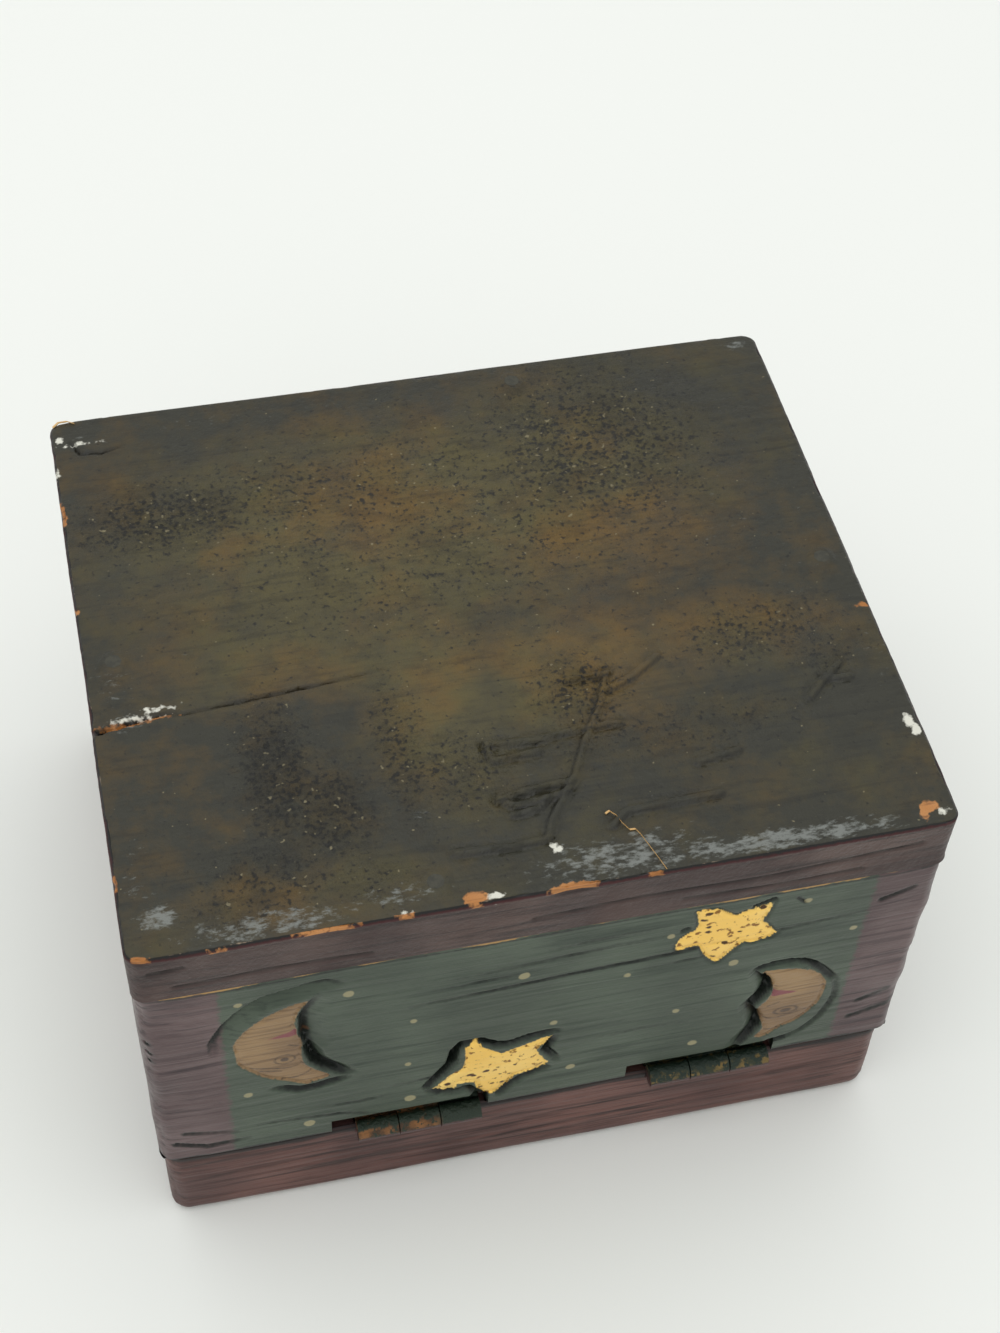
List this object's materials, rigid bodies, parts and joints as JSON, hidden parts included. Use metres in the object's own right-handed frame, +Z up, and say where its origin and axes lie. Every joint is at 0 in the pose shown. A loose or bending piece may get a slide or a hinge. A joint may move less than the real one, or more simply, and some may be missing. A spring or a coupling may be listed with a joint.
{
  "type": "wooden trinket box",
  "caption": "Carved and painted wooden box lying upside down on its hinged lid, with moons and stars in low relief and brass butt hinges.",
  "frame": {"origin": "centre of the bounding box, at the outer face of the lid that the box lies on", "axes": "stored as pictured, upside down on its lid: +Z is up, away from the lid and towards the underside board; +X runs along the hinge side, to the right when that side is faced; +Y goes from the hinge side to the front"},
  "size_m": [0.152, 0.1342, 0.101],
  "materials": {
    "plum_paint": "hand-painted dull plum over soft wood, worn at the edges",
    "green_paint": "hand-painted grey green with plum corners and gold and tan figures, over carved soft wood",
    "charcoal_paint": "thin charcoal olive paint over rough sawn wood, scuffed",
    "worn_brass": "plain brass, painted over and worn through",
    "filled_steel": "steel pin heads, punched in and painted over"
  },
  "bodies": {
    "lid": {"lid": "plum_paint", "lid_leaf_nails": "worn_brass", "left_hinge_lid_leaf": "worn_brass", "left_hinge_pin": "worn_brass", "right_hinge_lid_leaf": "worn_brass", "right_hinge_pin": "worn_brass"},
    "box": {"underside_board": "charcoal_paint", "hinge_side_wall": "green_paint", "front_wall": "green_paint", "left_end_wall": "green_paint", "right_end_wall": "green_paint", "board_pins": "filled_steel", "box_leaf_nails": "worn_brass", "left_hinge_box_leaf": "worn_brass", "right_hinge_box_leaf": "worn_brass"}
  },
  "joints": [
    {"name": "lid_hinge", "type": "hinge", "parent": "lid", "child": "box", "pos_m": [0, -0.0649, 0.0246], "axis": [1, 0, 0], "range_deg": [0, 100]}
  ]
}
